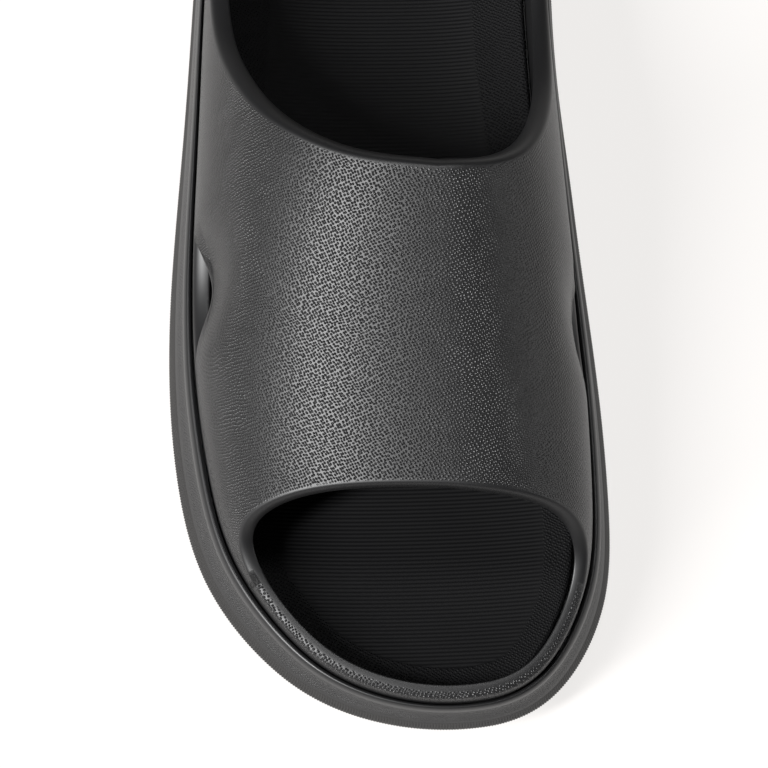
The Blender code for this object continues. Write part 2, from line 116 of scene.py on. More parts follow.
class Spline:
    """Natural cubic spline through points, held level past its ends."""

    def __init__(self, places, values):
        self.places = np.array(places, float)
        self.values = np.array(values, float)
        steps = np.diff(self.places)
        slopes = np.diff(self.values) / steps
        count = len(self.places)
        system = np.eye(count)
        right = np.zeros(count)
        for i in range(1, count - 1):
            system[i, i - 1] = steps[i - 1]
            system[i, i] = 2 * (steps[i - 1] + steps[i])
            system[i, i + 1] = steps[i]
            right[i] = 6 * (slopes[i] - slopes[i - 1])
        self.bends = np.linalg.solve(system, right)

    def __call__(self, place):
        place = np.clip(place, self.places[0], self.places[-1])
        i = np.clip(np.searchsorted(self.places, place) - 1, 0, len(self.places) - 2)
        width = self.places[i + 1] - self.places[i]
        a = (self.places[i + 1] - place) / width
        b = 1 - a
        bend = (a**3 - a) * self.bends[i] + (b**3 - b) * self.bends[i + 1]
        return a * self.values[i] + b * self.values[i + 1] + bend * width**2 / 6


def column(table, index):
    return Spline([row[0] for row in table], [row[index] for row in table])


def refined(table, count):
    """A listed profile with a smooth curve of that many points through its own."""
    marks = np.arange(len(table))
    fine = np.linspace(0, len(table) - 1, count)
    return np.stack([Spline(marks, values)(fine) for values in zip(*table)], -1)


def angle_of(along):
    """The place along the length as an angle: 0 at the toe, pi at the heel."""
    return np.arccos(np.clip(1 - 2 * np.asarray(along, float), -1, 1))


def along_of(angle):
    return (1 - np.cos(angle)) / 2


def along_at(y):
    return np.clip(y / LENGTH + 0.5, 0, 1)


plan_middle = column(SOLE_PLAN, 1)
plan_angles = [float(angle_of(row[0])) for row in SOLE_PLAN]
plan_ratio = Spline(plan_angles, [row[2] / math.sin(a) for row, a in zip(SOLE_PLAN, plan_angles)])
outsole_share = column(SOLE_SIDE, 2)
inset_lateral = column(SOLE_SIDE, 3)
inset_medial = column(SOLE_SIDE, 4)


def outline(angle):
    """Point of the sole's outline: angles above 0 run along the big toe's side."""
    along = along_of(angle)
    x = BALL_WIDTH * (plan_middle(along) + plan_ratio(np.abs(angle)) * np.sin(angle))
    return np.stack([x, LENGTH * (along - 0.5)], -1)


def inside(angle, inset, step=1e-4):
    """Point of the outline moved square to it into the sole."""
    ahead = outline(angle + step) - outline(angle - step)
    ahead /= np.linalg.norm(ahead, axis=-1, keepdims=True)
    inwards = np.stack([-ahead[..., 1], ahead[..., 0]], -1)
    return outline(angle) + inwards * np.asarray(inset)[..., None]


def even_angles(count):
    """Angles round the outline whose points lie evenly spaced."""
    fine = np.linspace(-math.pi, math.pi, 4001)
    lengths = np.linalg.norm(np.diff(outline(fine), axis=0), axis=1)
    run = np.concatenate([[0], np.cumsum(lengths)])
    return np.interp(np.arange(count) / count * run[-1], run, fine)


def underside(along):
    """Height of the sole's underside: flat at heel and forefoot, with toe spring and arch."""
    toe = TOE_SPRING * np.clip((0.27 - along) / 0.27, 0, 1) ** 2
    heel = HEEL_LIFT * np.clip((along - 0.90) / 0.10, 0, 1) ** 2
    arch = ARCH_LIFT * np.sin(np.pi * np.clip((along - 0.42) / 0.20, 0, 1)) ** 2
    return toe + heel + arch


def outsole_top(along):
    return underside(along) + OUTSOLE_THICKNESS * outsole_share(along)


def rim_inset(angle):
    """How far the crease between bead and upper lies inside the outline."""
    along = along_of(angle)
    side = (1 + np.sin(angle)) / 2
    return EDGE_INSET * (inset_lateral(along) * (1 - side) + inset_medial(along) * side)


def spine(angle):
    """Point under the ridge that a section runs to, with its place along."""
    low, high, softness = 0.16, 0.70, 0.018
    along = along_of(angle)
    along = low + softness * np.logaddexp(0, (along - low) / softness)
    along = high - softness * np.logaddexp(0, (high - along) / softness)
    x = BALL_WIDTH * (plan_middle(along) + ridge_shift(along))
    return np.stack([x, LENGTH * (along - 0.5)], -1), along


# Place along, height of the upper's ridge as a share of the instep height, its shift towards the big
# toe as a share of the ball width, and the wall's thickness as a share of the wall
UPPER_SECTIONS = (
    (0.00, 0.640, 0.085, 0.74),
    (0.17, 0.690, 0.085, 0.76),
    (0.26, 0.775, 0.088, 0.88),
    (0.35, 0.885, 0.092, 0.96),
    (0.43, 0.985, 0.098, 1.00),
    (0.60, 1.080, 0.060, 1.00),
    (1.00, 1.120, 0.000, 1.00),
)
ridge_shift = column(UPPER_SECTIONS, 2)


def level_ring(angles, inset, share, height):
    """A ring at an inset, moved by a share of the way to the spine, with its height from y."""
    rim = inside(angles, inset)
    centre, _ = spine(angles)
    plan = rim + (centre - rim) * share
    return np.concatenate([plan, height(along_at(plan[:, 1]))[:, None]], -1)


def ring_faces(rings):
    """Faces between rings of one size that follow each other."""
    faces = []
    for ring, following in zip(rings, rings[1:]):
        size = len(ring)
        for i in range(size):
            j = (i + 1) % size
            faces.append([ring[i], ring[j], following[j], following[i]])
    return faces


def cap_faces(ring, turn):
    """Closes a ring whose stations pair off from the toe, with strips from side to side."""
    size = len(ring)
    front = size // 2
    faces = []
    for k in range(size // 2):
        corners = [front - k, front + k, front + k + 1, front - k - 1]
        corners = list(dict.fromkeys(ring[corner % size] for corner in corners))
        faces.append(corners[::turn])
    return faces


def build(name, points, faces, sharp=50):
    """A closed mesh object with its faces out, smooth but for edges over an angle in degrees."""
    mesh = bpy.data.meshes.new(name)
    mesh.from_pydata([tuple(map(float, p)) for p in points], [], faces)
    work = bmesh.new()
    work.from_mesh(mesh)
    bmesh.ops.recalc_face_normals(work, faces=work.faces)
    if work.calc_volume(signed=True) < 0:
        bmesh.ops.reverse_faces(work, faces=work.faces)
    work.to_mesh(mesh)
    work.free()
    mesh.shade_smooth()
    mesh.set_sharp_from_angle(angle=math.radians(sharp))
    made = bpy.data.objects.new(name, mesh)
    bpy.context.scene.collection.objects.link(made)
    return made


def linear(hex_colour):
    """An sRGB hex colour as linear red, green, blue and alpha."""
    parts = [int(hex_colour[i:i + 2], 16) / 255 for i in (1, 3, 5)]
    return [p / 12.92 if p <= 0.04045 else ((p + 0.055) / 1.055) ** 2.4 for p in parts] + [1]


def node(material, kind, inputs=None, **settings):
    """Adds a node with its settings; an input given a socket is linked, any other is set."""
    made = material.node_tree.nodes.new(kind)
    for name, value in settings.items():
        setattr(made, name, value)
    for name, value in (inputs or {}).items():
        if isinstance(value, bpy.types.NodeSocket):
            material.node_tree.links.new(value, made.inputs[name])
        else:
            made.inputs[name].default_value = value
    return made


def eva_foam(name, dark, pale, roughness):
    """Closed-cell EVA foam, faintly cloudy in colour; returns the material and its shader."""
    material = bpy.data.materials.new(name)
    material.use_nodes = True
    shader = material.node_tree.nodes["Principled BSDF"]
    shader.inputs["Roughness"].default_value = roughness
    shader.inputs["IOR"].default_value = 1.48
    place = node(material, "ShaderNodeTexCoord").outputs["Object"]
    # Clouds about 20 mm across, as the pigment spreads unevenly in the press
    clouds = node(material, "ShaderNodeTexNoise", {"Vector": place, "Scale": 1 / 0.020, "Detail": 3.0})
    mixed = node(material, "ShaderNodeMix", {"Factor": clouds.outputs["Fac"]}, data_type="RGBA")
    for socket, colour in (("A", dark), ("B", pale)):
        [s for s in mixed.inputs if s.name == socket and s.type == "RGBA"][0].default_value = linear(colour)
    result = [s for s in mixed.outputs if s.type == "RGBA"][0]
    material.node_tree.links.new(result, shader.inputs["Base Color"])
    return material, shader


def emboss(material, shader, height, depth):
    """Presses a height from 0 to 1 into a surface as relief of that depth in metres."""
    bump = node(material, "ShaderNodeBump", {"Height": height, "Distance": depth, "Strength": 1.0})
    material.node_tree.links.new(bump.outputs["Normal"], shader.inputs["Normal"])


around = outline(np.linspace(-math.pi, math.pi, 2000))
rib_count = 2 * round(np.linalg.norm(np.diff(around, axis=0), axis=1).sum() / RIB_PITCH / 2)
rib_angles = even_angles(rib_count)
edge_angles = even_angles(4 * rib_count)
rib_wave = np.tile([0.0, 0.5, 1.0, 0.5], rib_count)
rounding = TREAD_ROUNDING * OUTSOLE_THICKNESS
tread_points = []


def add_ring(points):
    """Adds a ring of points to the tread and returns their numbers."""
    start = len(tread_points)
    tread_points.extend(points)
    return list(range(start, start + len(points)))


edge_rings = []
edge_along = along_of(edge_angles)
edge_low = underside(edge_along)
edge_high = outsole_top(edge_along)
for round_share, lean_share, height, standing in refined(TREAD_EDGE, 11):
    inset = round_share * rounding + lean_share * TREAD_LEAN * rim_inset(edge_angles)
    inset = inset + RIB_DEPTH * np.clip(standing, 0, 1) * (1 - rib_wave)
    plan = inside(edge_angles, inset)
    z = edge_low + (edge_high - edge_low) * height
    edge_rings.append(add_ring(np.concatenate([plan, z[:, None]], -1)))
lean = TREAD_LEAN * rim_inset(rib_angles)
under_rings = []
for share in (0.0, 0.35, 0.7):
    under_rings.append(add_ring(level_ring(rib_angles, 2.4 * rounding, share, underside)))
over_rings = []
for share in (0.2, 0.5, 0.8):
    over_rings.append(add_ring(level_ring(rib_angles, lean + 0.001, share, outsole_top)))
tread_faces = ring_faces(edge_rings) + ring_faces(under_rings) + ring_faces(over_rings)
for edge_ring, inner_ring in ((edge_rings[0], under_rings[0]), (edge_rings[-1], over_rings[0])):
    for i in range(rib_count):
        rib = [edge_ring[(4 * i + k) % (4 * rib_count)] for k in range(5)]
        tread_faces.append(rib + [inner_ring[(i + 1) % rib_count], inner_ring[i]])
tread_faces += cap_faces(under_rings[-1], 1) + cap_faces(over_rings[-1], -1)
outsole = build("outsole_ribbed", tread_points, tread_faces)

# The grooves are cut by wavy bars that reach from side to side of each tread field
bar_points = []
bar_faces = []
for first, last, number in GROOVE_FIELDS:
    for along in np.linspace(first, last, number):
        half = plan_ratio(angle_of(along)) * math.sin(angle_of(along))
        reach = BALL_WIDTH * float(half) - GROOVE_MARGIN
        top = float(underside(along)) + GROOVE_DEPTH
        shares = np.linspace(-1, 1, 41)
        x = BALL_WIDTH * float(plan_middle(along)) + reach * shares
        y = LENGTH * (along - 0.5) + 0.35 * GROOVE_WIDTH * np.cos(1.5 * math.pi * shares)
        lines = []
        for z, back in ((-GROOVE_DEPTH, -0.5), (-GROOVE_DEPTH, 0.5), (top, 0.5), (top, -0.5)):
            start = len(bar_points)
            bar_points += [(a, b + back * GROOVE_WIDTH, z) for a, b in zip(x, y)]
            lines.append(list(range(start, start + len(x))))
        for line, following in zip(lines, lines[1:] + lines[:1]):
            for i in range(len(x) - 1):
                bar_faces.append([line[i], line[i + 1], following[i + 1], following[i]])
        bar_faces.append([line[0] for line in lines])
        bar_faces.append([line[-1] for line in lines][::-1])
bars = build("groove_bars", bar_points, bar_faces)
cut = outsole.modifiers.new("grooves", "BOOLEAN")
cut.operation = "DIFFERENCE"
cut.solver = "EXACT"
cut.object = bars
seen = outsole.evaluated_get(bpy.context.evaluated_depsgraph_get())
grooved = bpy.data.meshes.new_from_object(seen)
outsole.modifiers.clear()
outsole.data = grooved
bpy.data.objects.remove(bars)

# EVA foam pressed in a spark-eroded mould: matt, with a dust-fine grain that scatters the light of the floor. Its
# colour is also set paler and warmer than the rest of the foam, which paints the warm floor's reflection along
# the edge as painted light
tread_foam, tread_shader = eva_foam("eva_foam_ribbed_tread", "#191818", "#201f1e", 0.62)
place = node(tread_foam, "ShaderNodeTexCoord").outputs["Object"]
# Grain 0.25 mm across
grain = node(tread_foam, "ShaderNodeTexNoise", {"Vector": place, "Scale": 1 / 0.00025, "Detail": 2.0})
emboss(tread_foam, tread_shader, grain.outputs["Fac"], 0.00003)
outsole.data.materials.clear()
outsole.data.materials.append(tread_foam)
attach(outsole, "root")
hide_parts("outsole")


# Midsole. The foam block between tread and foot, black EVA: a pebbled cove runs round its side under a
# smooth rolled bead, and its top is hollowed for the footbed, with a ledge for the upper's wall.
RIM_HEIGHT = 0.0265
WALL = 0.0044
FOOTBED_HEIGHT = 0.0195
FOOTBED_THICKNESS = 0.004
PEBBLE_PITCH = 0.00075
PEBBLE_DEPTH = 0.00019

# Share of the inset, share of the height from the tread to the rim, and how pebbled it is there
SIDE_PROFILE = (
    (0.30, 0.00, 0.0),
    (0.36, 0.06, 0.4),
    (0.50, 0.20, 1.0),
    (0.63, 0.36, 1.0),
    (0.69, 0.54, 0.8),
    (0.66, 0.66, 0.0),
    (0.64, 0.78, 0.0),
    (0.67, 0.90, 0.0),
    (0.76, 0.98, 0.0),
    (0.87, 1.00, 0.0),
    (0.98, 0.975, 0.0),
)

# Place along, height of the footbed's middle and of its rim as shares of the footbed height
FOOTBED_SECTIONS = (
    (0.00, 1.330, 1.350),
    (0.06, 1.200, 1.270),
    (0.15, 1.060, 1.180),
    (0.28, 1.000, 1.140),
    (0.42, 1.080, 1.280),
    (0.55, 1.270, 1.520),
    (0.70, 1.330, 1.660),
    (0.85, 1.310, 1.740),
    (1.00, 1.450, 1.780),
)
rim_level = column(SOLE_SIDE, 1)
bed_middle = column(FOOTBED_SECTIONS, 1)
bed_rim = column(FOOTBED_SECTIONS, 2)
wall_share = column(UPPER_SECTIONS, 3)


def rim_height(along):
    return RIM_HEIGHT * rim_level(along)


def wall_at(angle):
    return WALL * wall_share(along_of(angle))


def seat_height(angle):
    """Height of the ledge in the midsole that the upper's wall stands on."""
    return FOOTBED_HEIGHT * bed_rim(along_of(angle)) - FOOTBED_THICKNESS - GAP


def bed_point(angle, inset, share):
    """Point of the footbed's top, with share 0 at its rim and 1 at the spine."""
    rim = inside(angle, inset)
    centre, _ = spine(angle)
    centre = centre - np.stack([0.8 * BALL_WIDTH * ridge_shift(along_of(angle)), 0 * angle], -1)
    plan = rim + (centre - rim) * np.asarray(share)[..., None]
    middle = FOOTBED_HEIGHT * bed_middle(along_at(plan[..., 1]))
    edge = FOOTBED_HEIGHT * bed_rim(along_of(angle))
    cup = (1 - np.asarray(share)) ** 3
    return np.concatenate([plan, (middle + (edge - middle) * cup)[..., None]], -1)


def set_layers(made, points, places, values, name):
    """Gives a mesh a flat map in millimetres and a number at each of its points."""
    mesh = made.data
    tree = KDTree(len(points))
    for i, p in enumerate(points):
        tree.insert(p, i)
    tree.balance()
    order = [tree.find(v.co)[1] for v in mesh.vertices]
    layer = mesh.attributes.new(name, "FLOAT", "POINT")
    layer.data.foreach_set("value", np.asarray(values, np.float32)[order])
    flat = mesh.uv_layers.new(name="flat_map")
    corners = np.array([order[loop.vertex_index] for loop in mesh.loops])
    flat.data.foreach_set("uv", (np.asarray(places)[corners] * 1000).astype(np.float32).ravel())


def pebbles(material, masked_by, low, high):
    """Height of a grain of small round beads, which fades out where a number falls from high to low."""
    place = node(material, "ShaderNodeUVMap", uv_map="flat_map").outputs["UV"]
    # The rows of beads run aslant and wander a little, as on the mould
    sway = node(material, "ShaderNodeTexNoise", {"Vector": place, "Scale": 1 / 9.0, "Detail": 1.0})
    spread = node(
        material, "ShaderNodeVectorMath", {0: sway.outputs["Color"], 1: (2.2, 2.2, 0)}, operation="MULTIPLY"
    )
    moved = node(material, "ShaderNodeVectorMath", {0: place, 1: spread.outputs[0]}, operation="ADD")
    turned = node(material, "ShaderNodeMapping", {"Vector": moved.outputs[0], "Rotation": (0, 0, 0.5)})
    beads = node(
        material,
        "ShaderNodeTexVoronoi",
        {"Vector": turned.outputs[0], "Scale": 0.001 / PEBBLE_PITCH, "Randomness": 0.38},
        voronoi_dimensions="2D",
    )
    height = node(
        material,
        "ShaderNodeMapRange",
        {"Value": beads.outputs["Distance"], "From Max": 0.48, "To Min": 1.0, "To Max": 0.0},
        interpolation_type="SMOOTHSTEP",
    )
    mask = node(material, "ShaderNodeAttribute", attribute_name=masked_by)
    fade = node(material, "ShaderNodeMapRange", {"Value": mask.outputs["Fac"], "From Min": low, "From Max": high})
    kept = node(material, "ShaderNodeMath", {0: height.outputs[0], 1: fade.outputs[0]}, operation="MULTIPLY")
    return kept.outputs[0]


SOLE_STATIONS = 640
angles = even_angles(SOLE_STATIONS)
inset = rim_inset(angles)
along = along_of(angles)
bottom = outsole_top(along) + GAP
rings = []
for share in (0.8, 0.5, 0.2):
    ring = level_ring(angles, SIDE_PROFILE[0][0] * inset + 0.001, share, outsole_top)
    ring[:, 2] += GAP
    rings.append(ring)
pebbled = [0.0] * 3
for wide, tall, grained in refined(SIDE_PROFILE, 41):
    plan = inside(angles, wide * inset)
    z = bottom + (rim_height(along) - bottom) * tall
    rings.append(np.concatenate([plan, z[:, None]], -1))
    pebbled.append(grained)
rings.append(np.concatenate([inside(angles, inset), seat_height(angles)[:, None]], -1))
bed_inset = inset + wall_at(angles) + 3 * GAP
for share in (0.0, 0.05, 0.1, 0.2, 0.3, 0.42, 0.55, 0.68, 0.8):
    bed = bed_point(angles, bed_inset, np.full_like(angles, share))
    bed[:, 2] -= FOOTBED_THICKNESS + GAP
    rings.append(bed)
pebbled += [0.0] * 10
numbers = np.arange(len(rings) * SOLE_STATIONS).reshape(len(rings), SOLE_STATIONS).tolist()
faces = ring_faces(numbers) + cap_faces(numbers[0], -1) + cap_faces(numbers[-1], 1)
points = np.concatenate(rings)
midsole = build("midsole_beaded", points, faces)
around = np.concatenate([[0], np.cumsum(np.linalg.norm(np.diff(outline(angles), axis=0), axis=1))])
climbs = [np.linalg.norm(b - a, axis=1).mean() for a, b in zip(rings, rings[1:])]
upwards = np.concatenate([[0], np.cumsum(climbs)])
flat = np.stack(np.meshgrid(around, upwards), -1).reshape(-1, 2)
set_layers(midsole, points, flat, np.repeat(pebbled, SOLE_STATIONS), "grained")

# EVA foam from a polished mould: the bead is smooth and satin, with a soft streak of light along it,
# and the cove is grained with small beads that catch the light one by one
sole_foam, sole_shader = eva_foam("eva_foam_satin_bead", "#0e0e0f", "#131314", 0.44)
emboss(sole_foam, sole_shader, pebbles(sole_foam, "grained", 0.3, 0.8), PEBBLE_DEPTH)
midsole.data.materials.append(sole_foam)
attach(midsole, "root")
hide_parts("midsole")


# Footbed. A cupped sheet of softer EVA foam that lies in the hollow of the midsole: its middle is a
# panel of fine cross ribs with a sharp outline, moulded in, and a plain grained border climbs
# from it to the walls.
FOOTBED_CORNER = 0.0009
BED_RIB_PITCH = 0.0010
BED_RIB_DEPTH = 0.00016
BED_COLUMNS = 64
# The ribs bend towards the heel on the big toe's side: their slope there, and where they run square
RIB_SLOPE = 0.09
RIB_SQUARE_AT = -0.030

# Place along, and width of the plain border on the little toe's side and on the big toe's, in metres
BED_BORDER = (
    (0.00, 0.0055, 0.0055),
    (0.10, 0.0060, 0.0065),
    (0.25, 0.0070, 0.0075),
    (0.45, 0.0095, 0.0100),
    (0.60, 0.0110, 0.0125),
    (0.80, 0.0110, 0.0115),
    (1.00, 0.0100, 0.0100),
)
border_lateral = column(BED_BORDER, 1)
border_medial = column(BED_BORDER, 2)


def rib_bend(x):
    return RIB_SLOPE / 0.12 * (x - RIB_SQUARE_AT) ** 2


def bed_inset_at(angle):
    return rim_inset(angle) + wall_at(angle) + 3 * GAP


def branches(ring):
    """The two sides of a closed plan curve, each as x by its place across the ribs, toe to heel."""
    across = ring[:, 1] - rib_bend(ring[:, 0])
    ring = np.roll(ring, -int(np.argmin(across)), axis=0)
    across = np.roll(across, -int(np.argmin(across)))
    top = int(np.argmax(across))
    return (across[:top + 1], ring[:top + 1, 0]), (across[top:][::-1], ring[top:, 0][::-1])


angles = even_angles(2400)
bed_shares = np.linspace(0, 1, 40)
bed_net = np.stack([bed_point(angles, bed_inset_at(angles), np.full_like(angles, s)) for s in bed_shares])
bed_numbers = np.arange(bed_net.shape[0] * bed_net.shape[1]).reshape(bed_net.shape[:2]).tolist()
bed_tree = BVHTree.FromPolygons(bed_net.reshape(-1, 3).tolist(), ring_faces(bed_numbers))


def bed_height(x, y):
    """Height of the footbed's top over a point, read from its fine surface."""
    hit = bed_tree.ray_cast((x, y, 1), (0, 0, -1))[0]
    if hit is None:
        hit = bed_tree.find_nearest((x, y, FOOTBED_HEIGHT * 1.4))[0]
    return hit.z


rim_sides = branches(inside(angles, bed_inset_at(angles) + FOOTBED_CORNER))
side_share = (1 + np.sin(angles)) / 2
along = along_of(angles)
border = border_lateral(along) * (1 - side_share) + border_medial(along) * side_share
panel_sides = branches(inside(angles, bed_inset_at(angles) + border))
toe_tip, heel_tip = rim_sides[0][0][0], rim_sides[0][0][-1]
panel_toe, panel_heel = panel_sides[0][0][0], panel_sides[0][0][-1]
row_count = int((heel_tip - toe_tip) / BED_RIB_PITCH * 4)
bed_points = []
bed_grid = []
bed_relief = []
for r in range(1, row_count):
    place_across = toe_tip + r * BED_RIB_PITCH / 4
    ends = sorted(float(np.interp(place_across, *side)) for side in rim_sides)
    x = np.linspace(*ends, BED_COLUMNS)
    raised = np.zeros(BED_COLUMNS)
    if panel_toe < place_across < panel_heel:
        edges = sorted(float(np.interp(place_across, *side)) for side in panel_sides)
        snapped = [round((e - ends[0]) / (ends[1] - ends[0]) * (BED_COLUMNS - 1)) for e in edges]
        x[snapped] = edges
        raised[snapped[0] + 1:snapped[1]] = 1
    wave = (0.0, 0.5, 1.0, 0.5)[r % 4]
    row = []
    for column_x, up in zip(x, raised):
        y = place_across + rib_bend(column_x)
        row.append(len(bed_points))
        # The panel lies a little deeper than its border
        z = bed_height(column_x, y) + up * BED_RIB_DEPTH * (wave - 1)
        bed_points.append((column_x, y, z))
        bed_relief.append(up)
    bed_grid.append(row)


def bed_tip(place_across, side):
    x = float(side[1][0] if place_across == toe_tip else side[1][-1])
    y = place_across + rib_bend(x)
    bed_points.append((x, y, bed_height(x, y)))
    bed_relief.append(0)
    return len(bed_points) - 1


front_tip = bed_tip(toe_tip, rim_sides[0])
back_tip = bed_tip(heel_tip, rim_sides[0])
bed_faces = []
for row, following in zip(bed_grid, bed_grid[1:]):
    for i in range(BED_COLUMNS - 1):
        bed_faces.append([row[i], row[i + 1], following[i + 1], following[i]])
for i in range(BED_COLUMNS - 1):
    bed_faces.append([front_tip, bed_grid[0][i + 1], bed_grid[0][i]])
    bed_faces.append([back_tip, bed_grid[-1][i], bed_grid[-1][i + 1]])

# Its edge: a small rounding, a short side, and a plain underside on the midsole's hollow
loop = [front_tip] + [row[-1] for row in bed_grid] + [back_tip] + [row[0] for row in bed_grid[::-1]]
rim = np.array([bed_points[i] for i in loop])
ahead = np.roll(rim, -1, axis=0) - np.roll(rim, 1, axis=0)
outwards = np.stack([ahead[:, 1], -ahead[:, 0]], -1)
outwards /= np.linalg.norm(outwards, axis=1, keepdims=True)
bed_loops = [loop]
for out, down in ((0.7, 0.3), (1.0, 1.0), (1.0, FOOTBED_THICKNESS / FOOTBED_CORNER)):
    start = len(bed_points)
    for p, o in zip(rim, outwards):
        bed_points.append((*(p[:2] + o * out * FOOTBED_CORNER), p[2] - down * FOOTBED_CORNER))
        bed_relief.append(0)
    bed_loops.append(list(range(start, start + len(loop))))
bed_faces += ring_faces(bed_loops)
under = bed_loops[-1]
rows = len(bed_grid)
under_rows = []
for r in range(rows):
    first, last = under[-1 - r], under[1 + r]
    a, b = np.array(bed_points[first]), np.array(bed_points[last])
    row = [first]
    for share in np.linspace(0, 1, 9)[1:-1]:
        x, y = (a + (b - a) * share)[:2]
        row.append(len(bed_points))
        bed_points.append((x, y, bed_height(x, y) - FOOTBED_THICKNESS))
        bed_relief.append(0)
    under_rows.append(row + [last])
for row, following in zip(under_rows, under_rows[1:]):
    for i in range(8):
        bed_faces.append([row[i + 1], row[i], following[i], following[i + 1]])
for i in range(8):
    bed_faces.append([under[0], under_rows[0][i], under_rows[0][i + 1]])
    bed_faces.append([under[rows + 1], under_rows[-1][i + 1], under_rows[-1][i]])
footbed = build("footbed_ribbed", bed_points, bed_faces, 60)
set_layers(footbed, bed_points, np.array(bed_points)[:, :2], bed_relief, "panel")

# Softer EVA foam, matt, with its colour darker than the other foam as painted shade from the strap that hangs
# over it. The ribs give it a fine cross-lined look and the border the same grain of beads as the strap
bed_foam, bed_shader = eva_foam("eva_foam_matt_footbed", "#050506", "#080809", 0.62)
bed_shader.inputs["Specular IOR Level"].default_value = 0.12
emboss(bed_foam, bed_shader, pebbles(bed_foam, "panel", 0.5, 0.0), PEBBLE_DEPTH * 0.7)
footbed.data.materials.append(bed_foam)
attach(footbed, "root")
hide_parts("footbed")


# Upper. One moulded shell of black EVA foam, 4.4 mm thick: a broad strap over the instep, a low ring
# round the open toe, side walls and a heel rim. Its outside is pebbled up to smooth rounded
# lips, and a lens-shaped slot vents each side above a low sill.
INSTEP_HEIGHT = 0.087
SLOT_HEIGHT = 0.0115
SLOT_SILL = 0.0015
SLOT_SCOOP = (0.0042, 0.0020)
LIP_CORNER = 0.00035
TOE_STATIONS = 70
HEEL_STATIONS = 60
SIDE_COLUMNS = (38, 28, 52)
STRAP_ROWS = 60
WALL_ROWS = 9
FULLNESS = 2.5
SLOT_ROW = 0.905
SLOT_DIP = 0.055
SLOT_RISE = 0.12
SCOOP_TOP = 0.50

# Place across, from 0 at the ridge to 1 at the crease, with the place along on either side
TOE_EDGE = (
    (0.000, 0.178, 0.178),
    (0.250, 0.176, 0.177),
    (0.450, 0.170, 0.174),
    (0.620, 0.159, 0.166),
    (0.760, 0.144, 0.151),
    (0.860, 0.122, 0.127),
    (0.918, 0.088, 0.090),
    (0.940, 0.045, 0.045),
    (0.946, 0.000, 0.000),
)
COLLAR_EDGE = (
    (0.000, 0.428, 0.428),
    (0.200, 0.436, 0.434),
    (0.380, 0.458, 0.449),
    (0.540, 0.492, 0.476),
    (0.680, 0.535, 0.515),
    (0.780, 0.578, 0.560),
    (0.860, 0.640, 0.625),
    (0.905, 0.720, 0.715),
    (0.925, 0.850, 0.850),
    (0.930, 1.000, 1.000),
)

# Place along of each slot's front and back end, little toe's side first
SLOT_SPAN = ((0.300, 0.435), (0.280, 0.405))
ridge_level = column(UPPER_SECTIONS, 1)


def scoop(angle, rise):
    """How far the strap is pressed in above a slot, so that the slot opens upwards."""
    side = np.where(angle < 0, 0, 1)
    span = np.array(SLOT_SPAN)[side]
    share = (along_of(angle) - span[..., 0]) / (span[..., 1] - span[..., 0])
    around = np.sin(math.pi * np.clip(share, 0, 1)) ** 1.5
    fading = np.clip((SCOOP_TOP - rise) / (SCOOP_TOP - SLOT_RISE), 0, 1)
    starting = np.clip((rise - SLOT_RISE / 2) / (SLOT_RISE / 2), 0, 1)
    return np.array(SLOT_SCOOP)[side] * around * fading**2 * (3 - 2 * fading) * starting


def dome(angle, rise):
    """Middle of the upper's wall, with rise 0 at the crease and 1 at the ridge."""
    turn = np.clip(rise, 0, 1) * math.pi / 2
    foot = inside(angle, rim_inset(angle) + GAP + wall_at(angle) / 2)
    top, along = spine(angle)
    plan = foot + (top - foot) * (1 - np.cos(turn))[..., None]
    inwards = (top - foot) / np.linalg.norm(top - foot, axis=-1, keepdims=True)
    plan = plan + inwards * scoop(angle, rise)[..., None]
    low = rim_height(along_of(angle))
    high = INSTEP_HEIGHT * ridge_level(along)
    z = low + (high - low) * np.sin(turn) ** (2 / FULLNESS)
    return np.concatenate([plan, z[..., None]], -1)


def dome_normal(angle, rise, step=0.004):
    """Outward direction of the upper's wall."""
    around = dome(angle + step, rise) - dome(angle - step, rise)
    low = np.maximum(rise - step, step)
    high = np.minimum(low + 2 * step, 1)
    up = dome(angle, high) - dome(angle, np.minimum(low, 1 - step))
    normal = np.cross(around, up)
    return normal / np.linalg.norm(normal, axis=-1, keepdims=True)


def edge_curve(table, side):
    marks = np.arange(len(table))
    fine = np.linspace(0, len(table) - 1, 400)
    return (
        Spline(marks, [row[0] for row in table])(fine),
        Spline(marks, [row[side] for row in table])(fine),
    )


toe_edges = [edge_curve(TOE_EDGE, 1), edge_curve(TOE_EDGE, 2)]
collar_edges = [edge_curve(COLLAR_EDGE, 1), edge_curve(COLLAR_EDGE, 2)]


def across_at(edge, along):
    order = np.argsort(edge[1])
    return np.interp(along, edge[1][order], edge[0][order])


def side_places(side):
    """Places along of the columns on one side, from the toe opening's corner to the collar's."""
    front = np.interp(SLOT_ROW, *toe_edges[side])
    back = np.interp(SLOT_ROW, *collar_edges[side])
    stops = (front, *SLOT_SPAN[side], back)
    runs = [np.linspace(a, b, n + 1)[1:] for a, b, n in zip(stops, stops[1:], SIDE_COLUMNS)]
    return np.concatenate([[front], *runs])


places = [side_places(0), side_places(1)]


def slot_lines(side):
    """Rise of the slot's lower and upper edge by column; they meet where there is no slot."""
    along = places[side]
    start, end = SLOT_SPAN[side]
    run = (along - along[0]) / (along[-1] - along[0])
    middle = 1 - SLOT_ROW - SLOT_DIP * np.sin(math.pi * run)
    lens = np.sin(math.pi * np.clip((along - start) / (end - start), 0, 1)) ** 0.8
    _, place = spine(angle_of(along))
    tall = INSTEP_HEIGHT * ridge_level(place) - rim_height(along)
    sill = 2 / math.pi * np.arcsin((SLOT_SILL / tall) ** (FULLNESS / 2))
    head = 2 / math.pi * np.arcsin(((SLOT_SILL + SLOT_HEIGHT) / tall) ** (FULLNESS / 2))
    return middle + (sill - middle) * lens, middle + (head - middle) * lens


